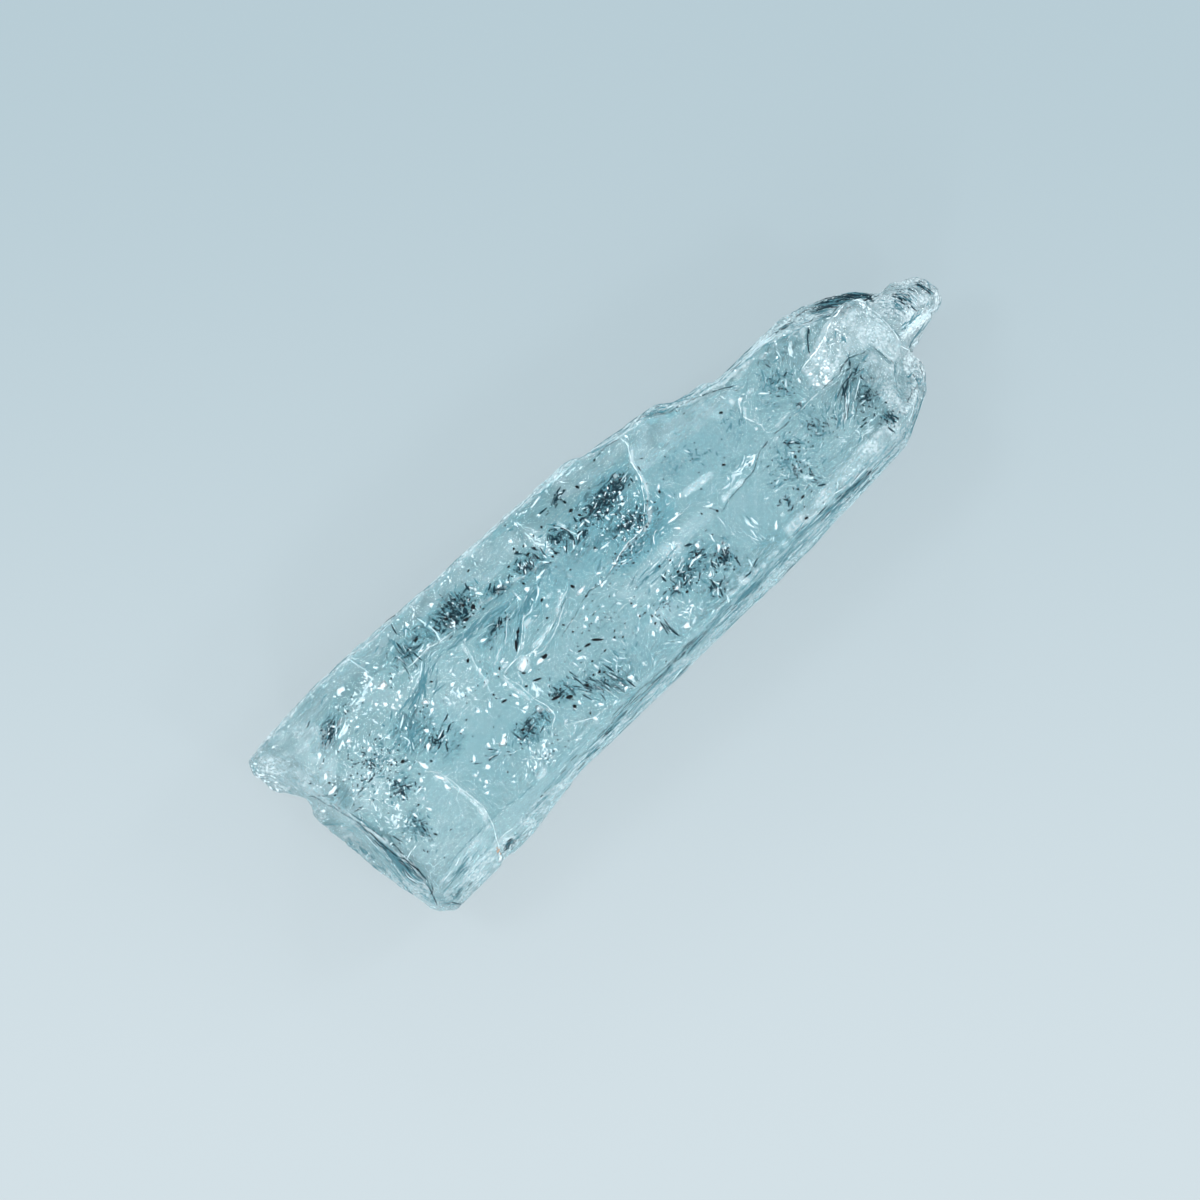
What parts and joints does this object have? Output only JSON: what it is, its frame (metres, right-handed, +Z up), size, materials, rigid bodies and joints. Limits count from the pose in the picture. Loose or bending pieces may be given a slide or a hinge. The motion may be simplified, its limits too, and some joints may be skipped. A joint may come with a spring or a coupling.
{
  "type": "rough aquamarine crystal",
  "caption": "Long prismatic rough gem crystal with a broken base and an etched, stepped tip, lying on a prism face.",
  "frame": {"origin": "middle of the crystal's box on the plane that it rests on", "axes": "+X along the crystal from its broken base to its etched tip, +Z up out of the broad top face, +Y across towards the back edge"},
  "size_m": [0.0564, 0.0176, 0.0097],
  "materials": {
    "aquamarine": "pale blue-green see-through beryl, glossy and striated, frosted at the tip and the broken base"
  },
  "bodies": {
    "root": {"aquamarine_crystal": "aquamarine"}
  },
  "joints": []
}
